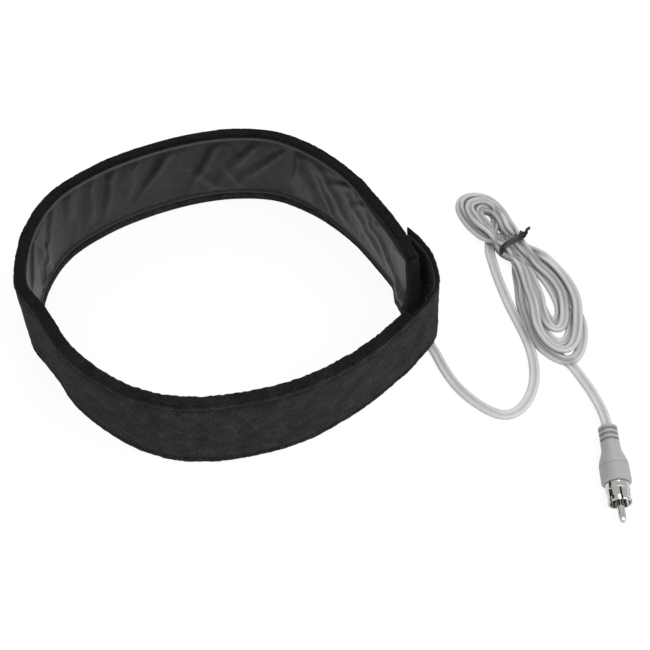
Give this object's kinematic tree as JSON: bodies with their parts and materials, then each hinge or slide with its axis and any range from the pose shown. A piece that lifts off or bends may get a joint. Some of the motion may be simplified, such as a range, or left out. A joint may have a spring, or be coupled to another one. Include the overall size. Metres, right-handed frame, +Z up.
{
  "type": "telescope dew heater strip",
  "caption": "Padded heating band closed into a loop by a hook tab, with a flat power lead tied in a hank and a round coaxial plug; it warms a lens tube to keep dew off.",
  "frame": {"origin": "centre of the loop's footprint, on the surface that it stands on, without the free cord and its plug", "axes": "+Z up across the strip's width; +X from the loop's left side towards its hook tab and cord; +Y to the far side of the loop"},
  "size_m": [0.2618, 0.183, 0.046],
  "materials": {
    "loop_pile": "black brushed loop pile, matt",
    "nylon_lining": "black thin nylon, puckered, slight sheen",
    "foam": "thin dark wadding",
    "resistance_wire": "bare resistance wire",
    "hook_tape": "black woven hook tape",
    "tinned_copper": "tinned crimp barrel",
    "shrink_sleeve": "black shrunk sleeve",
    "cord": "light grey flexible cord jacket, satin",
    "tie": "black plastic-covered wire",
    "plug_grip": "grey moulded plug body, satin",
    "nickel": "bright nickel plate",
    "dielectric": "dark moulded insulator"
  },
  "bodies": {
    "root": {"outer_cover": "loop_pile", "lining": "nylon_lining", "insulation": "foam", "heating_wire": "resistance_wire", "hook_tape": "hook_tape", "crimp_lower": "tinned_copper", "crimp_upper": "tinned_copper", "sleeve_lower": "shrink_sleeve", "sleeve_upper": "shrink_sleeve", "conductor_lower": "cord", "conductor_upper": "cord", "cord_lead": "cord", "cord_hank": "cord", "cord_plug_end": "cord", "twist_tie": "tie", "plug_body": "plug_grip", "plug_shell": "nickel", "plug_insulator": "dielectric", "centre_pin": "nickel"}
  },
  "joints": []
}
